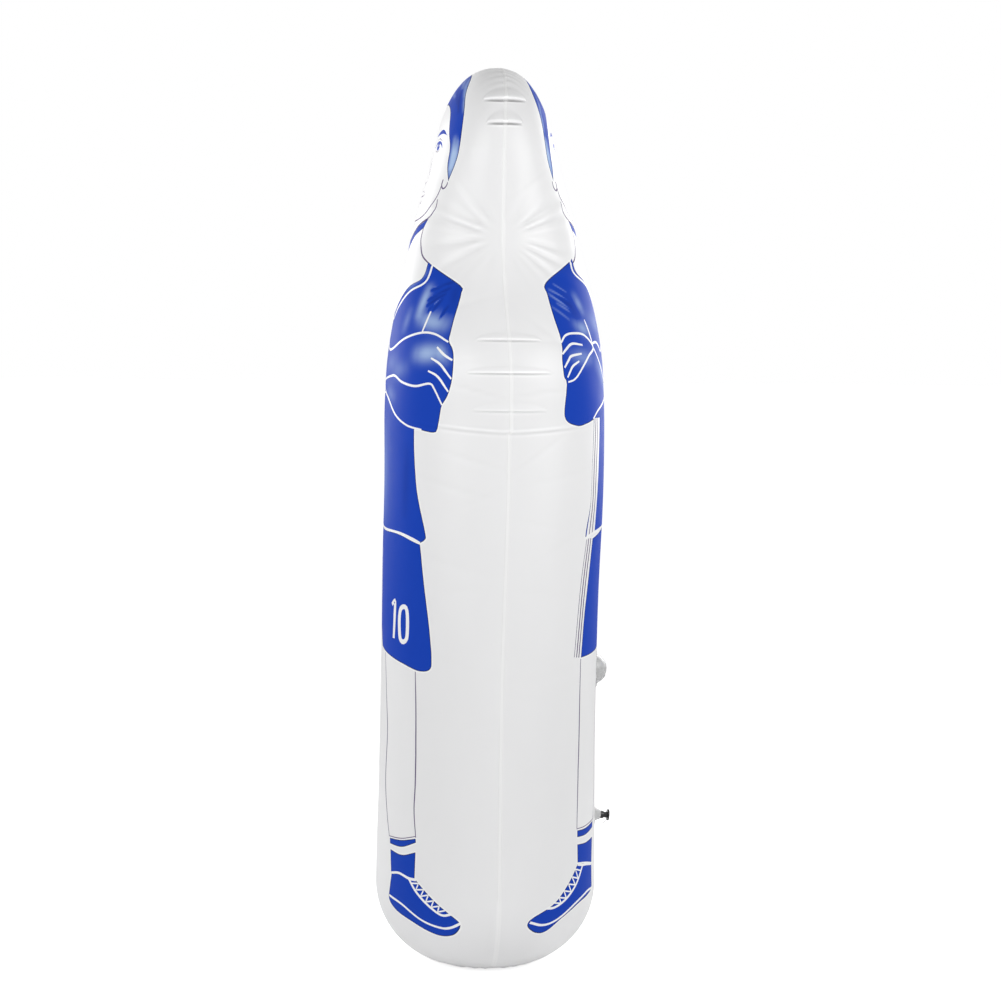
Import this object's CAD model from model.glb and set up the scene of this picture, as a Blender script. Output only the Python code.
# Inflatable free kick mannequin: a man-high white vinyl tumbler with a player printed on both of
# its panels, a weighted rounded foot, a large soft air valve and a small water filler at the back.
from math import asin
from math import atan2
from math import cos
from math import degrees
from math import pi
from math import radians
from math import sin
from math import sqrt
from math import tan

import bpy
import numpy as np
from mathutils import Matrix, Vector
from mathutils.geometry import delaunay_2d_cdt


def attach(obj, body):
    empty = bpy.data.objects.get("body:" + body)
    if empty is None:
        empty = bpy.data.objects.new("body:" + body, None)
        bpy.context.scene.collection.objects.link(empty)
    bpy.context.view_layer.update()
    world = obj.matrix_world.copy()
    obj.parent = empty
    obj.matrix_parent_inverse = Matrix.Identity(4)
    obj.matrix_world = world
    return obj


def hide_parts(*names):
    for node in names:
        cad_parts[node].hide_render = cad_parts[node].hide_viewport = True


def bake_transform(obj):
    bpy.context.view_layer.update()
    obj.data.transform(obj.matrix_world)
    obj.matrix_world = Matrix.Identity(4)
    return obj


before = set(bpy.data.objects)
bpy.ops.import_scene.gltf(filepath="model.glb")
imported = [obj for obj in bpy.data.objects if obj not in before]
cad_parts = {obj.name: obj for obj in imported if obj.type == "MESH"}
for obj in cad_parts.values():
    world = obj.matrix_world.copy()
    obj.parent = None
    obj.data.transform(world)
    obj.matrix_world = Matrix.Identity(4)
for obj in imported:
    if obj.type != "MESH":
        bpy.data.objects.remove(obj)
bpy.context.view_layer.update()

# Camera: a long lens four metres from the mannequin's left side, a little above its middle and
# tilted slightly down.
CAMERA_DISTANCE = 4.0
CAMERA_HEIGHT = 1.15
CAMERA_AZIMUTH = radians(83.0)
CAMERA_PITCH = radians(4.52)
CAMERA_YAW = radians(0.288)
CAMERA_ROLL = radians(0.634)
LENS_MM = 80.15

camera = bpy.data.objects.new("camera", bpy.data.cameras.new("camera"))
bpy.context.scene.collection.objects.link(camera)
camera.data.lens = LENS_MM
camera.data.sensor_width = 36.0
camera.location = (
    CAMERA_DISTANCE * sin(CAMERA_AZIMUTH),
    -CAMERA_DISTANCE * cos(CAMERA_AZIMUTH),
    CAMERA_HEIGHT,
)
camera.rotation_euler = (pi / 2 - CAMERA_PITCH, 0.0, CAMERA_AZIMUTH - CAMERA_YAW)
camera.rotation_euler.rotate_axis("Z", CAMERA_ROLL)
bpy.context.scene.camera = camera

# Studio: a seamless pale floor under an even white surround, with soft lamps in front and behind.
# What the camera and the gloss see is white, while the film is lit mostly from the sides.
SURROUND_LEVEL = 0.62
SURROUND_OVERHEAD = 0.30

world = bpy.data.worlds.new("studio")
bpy.context.scene.world = world
world.use_nodes = True
tree = world.node_tree
background = tree.nodes["Background"]
background.inputs["Color"].default_value = (1.0, 1.0, 1.0, 1.0)
direction = tree.nodes.new("ShaderNodeTexCoord")
parts = tree.nodes.new("ShaderNodeSeparateXYZ")
tree.links.new(direction.outputs["Generated"], parts.inputs["Vector"])
sky = tree.nodes.new("ShaderNodeMapRange")
sky.inputs["To Min"].default_value = SURROUND_LEVEL
sky.inputs["To Max"].default_value = SURROUND_OVERHEAD
tree.links.new(parts.outputs["Z"], sky.inputs["Value"])
ray = tree.nodes.new("ShaderNodeLightPath")
seen = tree.nodes.new("ShaderNodeMath")
seen.operation = "MAXIMUM"
tree.links.new(ray.outputs["Is Camera Ray"], seen.inputs[0])
tree.links.new(ray.outputs["Is Glossy Ray"], seen.inputs[1])
clear = tree.nodes.new("ShaderNodeMath")
clear.operation = "MAXIMUM"
tree.links.new(seen.outputs[0], clear.inputs[0])
tree.links.new(ray.outputs["Is Transmission Ray"], clear.inputs[1])
level = tree.nodes.new("ShaderNodeMapRange")
level.inputs["To Max"].default_value = 1.0
tree.links.new(clear.outputs[0], level.inputs["Value"])
tree.links.new(sky.outputs["Result"], level.inputs["To Min"])
tree.links.new(level.outputs["Result"], background.inputs["Strength"])

FLOOR_HALF = 40.0
FLOOR_SEEN = 0.98
FLOOR_BOUNCE = 0.85
FLOOR_GLOW = 0.62
FLOOR_FILL = 0.12
floor_mesh = bpy.data.meshes.new("floor")
corners = [(-1, -1), (1, -1), (1, 1), (-1, 1)]
floor_mesh.from_pydata([(x * FLOOR_HALF, y * FLOOR_HALF, 0.0) for x, y in corners], [],
                       [(0, 1, 2, 3)])
floor = bpy.data.objects.new("floor", floor_mesh)
bpy.context.scene.collection.objects.link(floor)
floor_paint = bpy.data.materials.new("floor_paint")
floor_paint.use_nodes = True
tree = floor_paint.node_tree
shader = tree.nodes["Principled BSDF"]
shader.inputs["Roughness"].default_value = 0.9
shader.inputs["Specular IOR Level"].default_value = 0.2
shader.inputs["Emission Color"].default_value = (1.0, 1.0, 1.0, 1.0)
ray = tree.nodes.new("ShaderNodeLightPath")
shade = tree.nodes.new("ShaderNodeMix")
shade.data_type = "RGBA"
shade.inputs["A"].default_value = (FLOOR_BOUNCE, FLOOR_BOUNCE, FLOOR_BOUNCE, 1.0)
shade.inputs["B"].default_value = (FLOOR_SEEN, FLOOR_SEEN, FLOOR_SEEN, 1.0)
tree.links.new(ray.outputs["Is Camera Ray"], shade.inputs["Factor"])
tree.links.new(shade.outputs["Result"], shader.inputs["Base Color"])
glow = tree.nodes.new("ShaderNodeMapRange")
glow.inputs["To Min"].default_value = FLOOR_FILL
glow.inputs["To Max"].default_value = FLOOR_GLOW
tree.links.new(ray.outputs["Is Camera Ray"], glow.inputs["Value"])
tree.links.new(glow.outputs["Result"], shader.inputs["Emission Strength"])
floor_mesh.materials.append(floor_paint)

LAMP_SIZE = 1.4
LAMPS = [((1.2, -1.3, 1.40), 12.3), ((1.2, 1.3, 1.40), 13.8), ((-1.2, -1.3, 1.40), 12.8),
         ((-1.2, 1.3, 1.40), 12.8)]
LAMP_AIM = Vector((0.0, 0.0, 1.20))
for index, (place, power) in enumerate(LAMPS):
    lamp = bpy.data.objects.new(f"softbox_{index}", bpy.data.lights.new(f"softbox_{index}", "AREA"))
    bpy.context.scene.collection.objects.link(lamp)
    lamp.data.shape = "DISK"
    lamp.data.size = LAMP_SIZE
    lamp.data.energy = power
    lamp.location = place
    lamp.rotation_euler = (LAMP_AIM - Vector(place)).to_track_quat("-Z", "Y").to_euler()

bpy.context.scene.view_settings.view_transform = "Standard"

# Envelope: the body that both panels take when they are blown up.  It stands on a round foot,
# rises as a nearly straight tube to the chest and closes over the head; the sizes are those of
# the frame, in metres.
BOWL_DEPTH = 0.142
WAIST_Z = 0.500
CREASE_Z = 0.965
SHOULDER_Z = 1.060
NECK_Z = 1.300
HEAD_Z = 1.450
TOP_Z = 1.600
RIM_RADIUS = 0.1995
BOWL_TURN = radians(76.3)
BOWL_ARC = BOWL_DEPTH / sin(BOWL_TURN)
CROWN_FULLNESS = 2.5
CROWN_FILM = 0.225
HALF_WIDTHS = [(BOWL_DEPTH, RIM_RADIUS), (WAIST_Z, 0.1945), (CREASE_Z, 0.200),
               (SHOULDER_Z, 0.208), (NECK_Z, 0.122), (HEAD_Z, 0.145)]
HALF_DEPTHS = [(BOWL_DEPTH, RIM_RADIUS), (WAIST_Z, 0.1945), (CREASE_Z, 0.1975),
               (SHOULDER_Z, 0.194), (NECK_Z, 0.149), (HEAD_Z, 0.109), (TOP_Z, 0.0835)]
BOWS = [(BOWL_DEPTH, 0.0), (WAIST_Z, 0.0015), (CREASE_Z, 0.008), (NECK_Z, 0.004), (HEAD_Z, 0.002),
        (TOP_Z, 0.002)]
SEAM_SHIFTS = [(BOWL_DEPTH, 0.0), (WAIST_Z, 0.0), (CREASE_Z, 0.002), (NECK_Z, 0.0), (HEAD_Z, 0.0),
               (TOP_Z, 0.008)]
BOWL_FILM = BOWL_ARC * BOWL_TURN
HEAD_FILM = BOWL_FILM + HEAD_Z - BOWL_DEPTH
TOP_FILM = HEAD_FILM + CROWN_FILM
FRONT, BACK = -1.0, 1.0


def smooth_size(points, height):
    """A size at each height: Hermite cubics between the points, whose slopes are the weighted
    harmonic mean of the two spans beside a point, or level where the size turns."""
    heights, sizes = np.array(points).T
    run = np.diff(heights)
    rise = np.diff(sizes) / run
    below, above = rise[:-1], rise[1:]
    weight_below = 2 * run[1:] + run[:-1]
    weight_above = run[1:] + 2 * run[:-1]
    steady = below * above > 0
    mean = np.zeros(len(below))
    mean[steady] = (weight_below + weight_above)[steady] / (
        weight_below[steady] / below[steady] + weight_above[steady] / above[steady])
    slope = np.concatenate((rise[:1], mean, rise[-1:]))
    height = np.clip(height, heights[0], heights[-1])
    span = np.clip(np.searchsorted(heights, height, side="right") - 1, 0, len(run) - 1)
    t = (height - heights[span]) / run[span]
    return ((2 * t**3 - 3 * t**2 + 1) * sizes[span]
            + (t**3 - 2 * t**2 + t) * run[span] * slope[span]
            + (3 * t**2 - 2 * t**3) * sizes[span + 1]
            + (t**3 - t**2) * run[span] * slope[span + 1])


def up_the_film(up):
    """Height and closing at a distance up the film.  In the bowl the height follows an arc, the
    body rises one for one, and over the head the closing is the cosine of an even turn and the
    height the superellipse that goes with it."""
    low = np.clip((BOWL_FILM - up) / BOWL_ARC, 0.0, None)
    turn = np.clip((up - HEAD_FILM) / CROWN_FILM, 0.0, 1.0) * pi / 2
    closing = np.cos(turn)
    crown = (1 - np.clip(closing, 0, 1) ** CROWN_FULLNESS) ** (1 / CROWN_FULLNESS)
    body = np.clip(up - BOWL_FILM, 0.0, HEAD_FILM - BOWL_FILM)
    height = BOWL_DEPTH - BOWL_ARC * np.sin(low) + body + (TOP_Z - HEAD_Z) * crown
    return height, closing, low


def film_from_height(height):
    """The distance up the film at a height, the inverse of up_the_film."""
    low = np.arcsin(np.clip((BOWL_DEPTH - height) / BOWL_ARC, 0.0, 1.0))
    body = np.clip(height - BOWL_DEPTH, 0.0, HEAD_Z - BOWL_DEPTH)
    crown = np.clip((height - HEAD_Z) / (TOP_Z - HEAD_Z), 0.0, 1.0)
    closing = (1 - crown**CROWN_FULLNESS) ** (1 / CROWN_FULLNESS)
    return BOWL_FILM - BOWL_ARC * low + body + np.arccos(closing) / (pi / 2) * CROWN_FILM


def section(up):
    """Half width, half depth, middle and height of the body at a distance up the film."""
    height, closing, low = up_the_film(up)
    bowl = RIM_RADIUS - BOWL_ARC + BOWL_ARC * np.cos(low)
    half_width = np.where(low > 0, bowl, smooth_size(HALF_WIDTHS, height) * closing)
    half_depth = np.where(low > 0, bowl, smooth_size(HALF_DEPTHS, height) * closing)
    return half_width, half_depth, smooth_size(BOWS, height), height


def smooth_envelope(side, turn, up):
    """A point of one panel: x is the half width times the sine of the turn from the panel's
    middle, y the middle plus or minus the half depth times its cosine, z the height."""
    half_width, half_depth, middle, height = section(up)
    return np.stack((half_width * np.sin(turn), middle + side * half_depth * np.cos(turn),
                     height), axis=-1)


def seam_turn(side, up):
    """The turn at which a panel meets the seam, where y is the middle plus the seam's shift."""
    half_width, half_depth, middle, height = section(up)
    shift = smooth_size(SEAM_SHIFTS, height)
    return np.arccos(np.clip(side * shift / np.maximum(half_depth, 1e-6), -1.0, 1.0))


def across_film(up):
    """Metres of film per radian of turn: the mean of the half width and the half depth."""
    half_width, half_depth, middle, height = section(up)
    return np.maximum((half_width + half_depth) / 2, 1e-6)


# Wrinkles: the film gathers wherever the seam turns in or out, so it has tucks beside the head,
# rays at the neck, flat folds beside the chest, one long crease and small gathers at both ends.
TUCKS = [(1.5365, 0.049, 0.0056, 0.024, 0.0022), (1.4955, 0.038, 0.0046, 0.024, 0.0018),
         (1.124, 0.058, 0.0022, 0.014, 0.0018), (1.068, 0.078, 0.0020, 0.013, 0.0022),
         (1.004, 0.066, 0.0012, 0.016, 0.0034)]
TUCK_MEND = 0.0045
CREASE_DROP = 0.009
CREASE_REACH = 0.135
CREASE_DEPTH = 0.0010
RAYS = [(22.0, 2.6, -0.0018), (17.0, 2.6, 0.0010), (33.0, 3.0, 0.0004), (43.0, 3.0, -0.0006),
        (58.0, 5.0, 0.0005), (5.0, 2.4, 0.0004), (-9.0, 2.6, 0.0009), (-17.0, 2.4, -0.0005),
        (-26.0, 2.6, 0.0014), (-37.0, 2.6, 0.0010), (-48.0, 3.0, 0.0005), (-66.0, 6.0, 0.0004)]
RAY_START = 0.018
RAY_FULL = 0.045
RAY_END = 0.135
NOTCH_HOLLOW = 0.0038
FAINT_FOLDS = [(0.060, 0.925, 24.0, 0.060, 0.006, 0.0005), (0.105, 0.880, 12.0, 0.070, 0.007, 0.0004),
               (0.050, 0.830, -18.0, 0.050, 0.007, 0.0003), (0.120, 0.760, 20.0, 0.080, 0.009, 0.0004),
               (0.075, 0.690, -8.0, 0.060, 0.009, 0.0003), (0.110, 0.560, 14.0, 0.090, 0.011, 0.0004),
               (0.050, 0.480, -12.0, 0.060, 0.011, 0.0003), (0.130, 0.380, 8.0, 0.090, 0.012, 0.0003),
               (0.060, 1.035, 10.0, 0.060, 0.005, 0.0005), (0.100, 1.100, -9.0, 0.060, 0.006, 0.0005),
               (0.070, 1.160, -24.0, 0.050, 0.007, 0.0007), (0.060, 1.385, 38.0, 0.050, 0.006, 0.0005)]
GATHER_PITCH = 0.015
CROWN_GATHER = 0.0011
FOOT_GATHER = 0.0016


def film_relief(side, turn, up):
    """How far the film stands out from the smooth body, the sum of every wrinkle's own shape in
    the distance from the nearer seam and the height."""
    half_width, half_depth, middle, height = section(up)
    right = np.sign(turn) + (turn == 0)
    off = np.maximum((seam_turn(side, up) - np.abs(turn)) * across_film(up), 0.0)
    out = -0.0007 * np.exp(-off / 0.005)
    out = out - NOTCH_HOLLOW * np.exp(-((off / 0.030) ** 2) - ((height - 1.205) / 0.042) ** 2)
    for tuck_z, reach, depth, rise, drop in TUCKS:
        lens = np.clip(1 - (off / reach) ** 2, 0.0, 1.0) ** 0.6
        above = (height - tuck_z) / (rise * lens + 1e-5)
        shelf = np.where(above >= 0, np.clip(1 - above, 0, 1) ** 2 * (1 + 2 * above), 0.0)
        fall = np.clip((tuck_z - height) / drop, 0.0, 1.0)
        fall = fall * fall * (3 - 2 * fall)
        mend = np.clip((tuck_z - drop - height) / TUCK_MEND, 0.0, 1.0)
        mend = mend * mend * (3 - 2 * mend)
        under = np.where(above < 0, 1 - 1.5 * fall + 0.5 * mend, 0.0)
        out = out + depth * lens * (shelf + under)
    line = CREASE_Z + CREASE_DROP * (np.clip(off / CREASE_REACH, 0, 1.3) ** 1.5)
    fade = np.exp(-((off / CREASE_REACH) ** 4))
    from_line = (height - line) / 0.0030
    out = out + CREASE_DEPTH * fade * np.exp(-((from_line - 0.9) ** 2))
    out = out - 0.7 * CREASE_DEPTH * fade * np.exp(-((from_line + 0.8) ** 2))
    reach = np.hypot(off, height - NECK_Z)
    angle = np.degrees(np.arctan2(height - NECK_Z, np.maximum(off, 1e-5)))
    window = np.clip((reach - RAY_START) / (RAY_FULL - RAY_START), 0, 1) ** 2 * np.exp(
        -(np.clip(reach - RAY_FULL, 0, None) / (RAY_END - RAY_FULL)) ** 2)
    for index, (aim, spread, depth) in enumerate(RAYS):
        bend = aim + 2.5 * side * right * sin(1.7 * index + 0.6)
        wide = spread + np.degrees(0.0022 / np.maximum(reach, 0.01))
        t = (angle - bend) / wide
        out = out - depth * window * (np.exp(-(t**2)) - 0.45 * np.exp(-((np.abs(t) - 1.9) ** 2)))
    for index, (from_seam, z, tilt, length, wide, depth) in enumerate(FAINT_FOLDS):
        shifted = z + 0.022 * side * right * sin(2.3 * index + 0.4)
        lean = np.radians(tilt * (1 + 0.4 * side * right * cos(1.9 * index)))
        along = (off - from_seam) * np.cos(lean) + (height - shifted) * np.sin(lean)
        beside = (height - shifted) * np.cos(lean) - (off - from_seam) * np.sin(lean)
        out = out - depth * np.exp(-((along / length) ** 2) - (beside / wide) ** 2)
    sideways = half_width * np.sin(turn)
    from_seam = np.abs(side * half_depth * np.cos(turn) - smooth_size(SEAM_SHIFTS, height))
    over = np.clip((height - 1.540) / 0.045, 0.0, 1.0)
    gathers = np.sin(sideways * 2 * pi / GATHER_PITCH + 1.6 * np.sin(sideways * 61.0 + side))
    out = out + CROWN_GATHER * over * gathers * np.exp(-from_seam / 0.024)
    ring = np.sin(turn * 23.0 + 2.2 * np.sin(turn * 5.0 + side) + 0.7 * side)
    out = out + FOOT_GATHER * ring * np.exp(-up / 0.014) - 0.0012 * np.exp(-up / 0.006)
    lazy = np.sin(up * 19.0 + 2.0 * turn) * np.sin(turn * 5.0 + 3.0 * up + side)
    out = out + 0.0007 * lazy * np.clip(up / 0.1, 0, 1) * np.clip((TOP_FILM - up) / 0.1, 0, 1)
    return out


def fold_hollow(side, turn, up):
    """How deep in a fold a point lies, in millimetres: how far the film stands out on average a
    short step up, down and to both sides, less how far it stands out here."""
    step = 0.0028
    turn_step = step / np.maximum(across_film(up), 0.01)
    around = (film_relief(side, turn + turn_step, up) + film_relief(side, turn - turn_step, up)
              + film_relief(side, turn, np.minimum(up + step, TOP_FILM))
              + film_relief(side, turn, np.maximum(up - step, 0.0)))
    return 250 * around - 1000 * film_relief(side, turn, up)


def film_point(side, turn, up):
    """The wrinkled film: the smooth body moved along its own normal by the relief."""
    step = 1e-4
    across = (smooth_envelope(side, turn + step, up) - smooth_envelope(side, turn - step, up))
    upward = (smooth_envelope(side, turn, np.minimum(up + step, TOP_FILM))
              - smooth_envelope(side, turn, np.maximum(up - step, 0.0)))
    normal = -side * np.cross(across, upward)
    length = np.linalg.norm(normal, axis=-1, keepdims=True)
    normal = np.where(length > 1e-14, normal / np.maximum(length, 1e-14), (0.0, 0.0, 1.0))
    return smooth_envelope(side, turn, up) + normal * film_relief(side, turn, up)[..., None]


def film_normal(side, turn, up):
    """The wrinkled film's normal, from points a short step each way."""
    step = 4e-4
    turn_step = step / np.maximum(across_film(up), 0.01)
    across = film_point(side, turn + turn_step, up) - film_point(side, turn - turn_step, up)
    high = np.minimum(up + step, TOP_FILM)
    low = np.maximum(up - step, 0.0)
    normal = -side * np.cross(across, film_point(side, turn, high) - film_point(side, turn, low))
    length = np.linalg.norm(normal, axis=-1, keepdims=True)
    return np.where(length > 1e-16, normal / np.maximum(length, 1e-16), (0.0, 0.0, 1.0))


# Print: one player with folded arms, in blue with white contour lines and a few thin dark ones,
# screen printed on each flat panel before it is welded.  Points are millimetres on the flat
# film, sideways from the panel's middle to the viewer's right and up from the floor.
WHITE_LINE = 4.2
HALO = 5.6
NAVY_EDGE = 1.5
DARK_LINE = 2.8
FINE_LINE = 1.5


def drawn_curve(points, closed=False, step=4.0):
    """A smooth line through the points, as Catmull-Rom cubics.  A point given with a third
    value stays a sharp corner, where the curve stops and starts again."""
    spots = np.array([point[:2] for point in points], float)
    sharp = [len(point) > 2 for point in points]
    count = len(spots)
    traced = []
    for i in range(count if closed else count - 1):
        j = (i + 1) % count
        before = spots[i - 1] if (closed or i > 0) and not sharp[i] else 2 * spots[i] - spots[j]
        last = not closed and j == count - 1
        after = spots[(j + 1) % count] if not last and not sharp[j] else 2 * spots[j] - spots[i]
        steps = max(int(np.hypot(*(spots[j] - spots[i])) / step), 1)
        t = (np.arange(steps) / steps)[:, None]
        traced.append(0.5 * (2 * spots[i] + (spots[j] - before) * t
                             + (2 * before - 5 * spots[i] + 4 * spots[j] - after) * t**2
                             + (3 * spots[i] - before - 3 * spots[j] + after) * t**3))
    if not closed:
        traced.append(spots[-1:])
    return np.concatenate(traced)


def brush_stroke(line, width, closed=False, taper=0.0):
    """The outline of a line of some width: its points moved half the width to each side along
    the mean direction there, thinner towards the ends by the taper."""
    if closed:
        ahead = np.roll(line, -1, axis=0) - np.roll(line, 1, axis=0)
    else:
        ahead = np.gradient(line, axis=0)
    ahead = ahead / np.maximum(np.linalg.norm(ahead, axis=1, keepdims=True), 1e-9)
    sideways = np.stack((-ahead[:, 1], ahead[:, 0]), axis=1) * width / 2
    if closed:
        return [line + sideways, line - sideways]
    share = np.linspace(-1, 1, len(line))
    sideways = sideways * (1 - taper * np.abs(share) ** 2)[:, None]
    return [np.concatenate((line + sideways, (line - sideways)[::-1]))]


def mirrored(points):
    """The same points on the other side of the panel's middle."""
    return [(-point[0],) + tuple(point[1:]) for point in points]


HAIR = [(0, 1590), (42, 1577), (68, 1549), (93, 1509), (104, 1450), (94, 1396, 1), (82, 1424),
        (78, 1455), (66, 1479), (44, 1519), (12, 1534), (-22, 1528), (-52, 1508), (-70, 1480),
        (-77, 1452), (-80, 1424), (-88, 1400, 1), (-97, 1450), (-88, 1512), (-72, 1553),
        (-40, 1578)]
FACE_LINE = [(80, 1400), (76, 1376), (62, 1354), (38, 1337), (0, 1331), (-38, 1337), (-62, 1354),
             (-76, 1376), (-80, 1400)]
EAR_LOBE = [(93, 1400), (92, 1389), (85, 1384), (79, 1390), (79, 1400)]
BROW = [(15, 1478), (28, 1486), (44, 1488), (61, 1477, 1), (46, 1481), (30, 1480)]
UPPER_LID = [(17, 1458), (25, 1465), (37, 1467), (47, 1463), (53, 1456)]
LID_FOLD = [(24, 1471), (36, 1473), (48, 1468)]
UNDER_EYE = [(23, 1454), (34, 1450), (46, 1454)]
EYE = (35, 1459, 6.5)
NOSE_BRIDGE = [(12, 1442), (13, 1424), (17, 1409), (13, 1402)]
NOSE = [(13, 1402), (5, 1398), (-3, 1398), (-9, 1402)]
MOUTH = [(-25, 1377), (-9, 1374), (0, 1375), (9, 1374), (25, 1377)]
UPPER_LIP = [(-17, 1380), (-6, 1384), (0, 1382), (6, 1384), (17, 1380)]
LOWER_LIP = [(-13, 1366), (0, 1362), (13, 1366)]
NECK_LINE = [(78, 1366), (80, 1352), (76, 1345), (64, 1334), (33, 1321), (0, 1296)]
COLLAR = [(66, 1333, 1), (33, 1320, 1), (0, 1295, 1), (-33, 1320, 1), (-66, 1333, 1),
          (-58, 1317, 1), (-30, 1304, 1), (0, 1277, 1), (30, 1304, 1), (58, 1317, 1)]
SHOULDER_LINE = [(57, 1318), (58, 1296), (72, 1271), (94, 1256), (107, 1250)]
RAGLAN_BAND = [(95, 1257, 1), (91, 1229), (58, 1214), (22, 1185), (0, 1170), (-22, 1185),
               (-52, 1222), (-86, 1243), (-88, 1267, 1), (-97, 1260, 1), (-94, 1238), (-47, 1214),
               (-22, 1174), (0, 1157), (24, 1173), (65, 1204), (102, 1221), (107, 1250, 1)]
RAGLAN_LINE = [(107, 1252), (102, 1222), (65, 1205), (24, 1174), (0, 1158), (-22, 1175), (-47, 1215),
               (-93, 1239), (-97, 1262)]
ARMS = [(108, 1250, 1), (174, 1216), (182, 1203), (186, 1181), (191, 1138), (193, 1121),
        (204, 1107), (210, 1090), (212, 1060), (205, 1030), (193, 1011, 1), (191, 1004),
        (184, 970), (176, 963), (149, 966), (131, 969, 1), (132, 926), (140, 860), (160, 790),
        (160, 777), (149, 770, 1), (90, 784), (21, 786), (-40, 792), (-109, 785), (-139, 777, 1),
        (-138, 790), (-126, 840), (-126, 908), (-124, 986, 1), (-150, 979), (-178, 976),
        (-207, 992), (-204, 1049), (-210, 1062), (-209, 1090), (-199, 1118), (-193, 1161),
        (-182, 1201), (-171, 1224), (-97, 1262, 1), (-93, 1238), (-47, 1214), (-22, 1174),
        (0, 1157), (24, 1173), (65, 1204), (102, 1221)]
ARM_LINES = [
    [(137, 1171), (134, 1152), (131, 1135)],
    [(-60, 1104), (-20, 1118), (14, 1104), (44, 1107), (88, 1124), (130, 1134), (161, 1132),
     (192, 1119)],
    [(172, 1110), (190, 1097), (208, 1088)],
    [(164, 1091), (186, 1080), (210, 1056)],
    [(161, 1069), (183, 1059), (205, 1034)],
    [(-30, 1046), (4, 1052), (41, 1057), (64, 1058), (92, 1048), (131, 1042), (165, 1047),
     (176, 1039), (193, 1011)],
    [(-105, 1112), (-62, 1062), (-30, 1046), (8, 1028), (36, 1016), (73, 989), (111, 973),
     (149, 967)],
    [(-199, 1120), (-184, 1132), (-162, 1136), (-130, 1133), (-105, 1112), (-130, 1097),
     (-155, 1079), (-181, 1058), (-200, 1052)],
    [(-205, 1100), (-190, 1110), (-173, 1118), (-144, 1116)],
    [(-206, 1077), (-194, 1089), (-183, 1097), (-153, 1101)],
    [(-201, 1060), (-193, 1071), (-184, 1080), (-165, 1088)],
    [(-113, 1160), (-107, 1134), (-105, 1112)],
    [(-110, 1118), (-82, 1120), (-60, 1104)],
    [(-126, 987), (-100, 1003), (-40, 1022), (8, 1028)],
]
HEM_LINE = [(-139, 777), (-109, 785), (-40, 792), (21, 786), (90, 784), (128, 777), (149, 770)]
SHORTS = [(149, 768, 1), (160, 693), (171, 626), (177, 572), (174, 551), (150, 546), (107, 555),
          (40, 568), (14, 574, 1), (0, 612, 1), (-14, 578, 1), (-32, 575), (-100, 568),
          (-138, 566, 1), (-132, 640), (-126, 681), (-112, 775, 1), (-40, 790), (21, 784), (90, 782)]
FRONT_FOLD = [(0, 612), (4, 680), (2, 750)]
SHORTS_SIDE = [(-134, 775), (-148, 691), (-159, 569)]
SHORTS_STRIPES = [[(-127, 776), (-141, 690), (-152, 568)], [(-119, 776), (-134, 685), (-145, 567)]]
SHIRT_SIDE = [(-122, 988, 1), (-125, 908), (-125, 838), (-136, 780, 1), (-104, 786, 1), (-96, 879),
              (-96, 988, 1)]
SHIRT_STRIPES = [[(-115, 988), (-117, 908), (-117, 838), (-126, 783)],
                 [(-106, 988), (-107, 900), (-108, 838), (-115, 784)]]
ONE = [(70, 655), (77, 661), (81, 663), (80, 630), (78, 596)]
ZERO = [(103, 653), (112, 655), (118, 648), (120, 622), (118, 600), (110, 593), (102, 595),
        (98, 604), (96, 628), (98, 646)]
LEG_LINES = [[(142, 546), (146, 468), (148, 355), (147, 300), (153, 252)],
             [(39, 566), (50, 480), (58, 426), (57, 340), (68, 280), (79, 241)],
             [(-138, 566), (-139, 438), (-143, 330), (-146, 260)],
             [(-34, 572), (-48, 480), (-56, 426), (-55, 340), (-64, 290), (-72, 263)]]
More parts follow.
